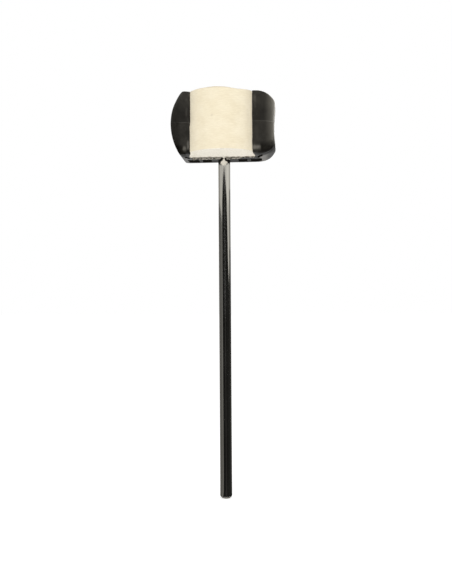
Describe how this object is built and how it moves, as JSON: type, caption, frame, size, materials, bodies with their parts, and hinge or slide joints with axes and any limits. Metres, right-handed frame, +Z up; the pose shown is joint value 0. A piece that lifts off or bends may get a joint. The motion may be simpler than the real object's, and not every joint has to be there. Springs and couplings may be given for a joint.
{
  "type": "bass drum beater",
  "caption": "Bass drum beater: a round chromed shaft with a black moulded head that holds a crowned felt face between a rounded and a flat hard face.",
  "frame": {"origin": "centre of the shaft's lower end", "axes": "+Z up along the shaft towards the head, -Y the way the felt faces, -X towards the rounded hard face"},
  "size_m": [0.0663, 0.0501, 0.2645],
  "materials": {
    "chrome": "polished",
    "plated_steel": "zinc plated",
    "black_plastic": "satin",
    "cream_felt": "pressed felt",
    "adhesive": "matt",
    "brass": "turned"
  },
  "bodies": {
    "shaft": {"shaft": "chrome", "clamp_screw": "plated_steel", "spring_washer": "plated_steel", "flat_washer": "plated_steel"},
    "head": {"head_moulding": "black_plastic", "front_felt": "cream_felt", "felt_adhesive": "adhesive", "shaft_bush": "brass"}
  },
  "joints": [
    {"name": "head_turn", "type": "hinge", "parent": "shaft", "child": "head", "pos_m": [0, 0, 0.24507], "axis": [0, 0, 1], "continuous": true}
  ]
}
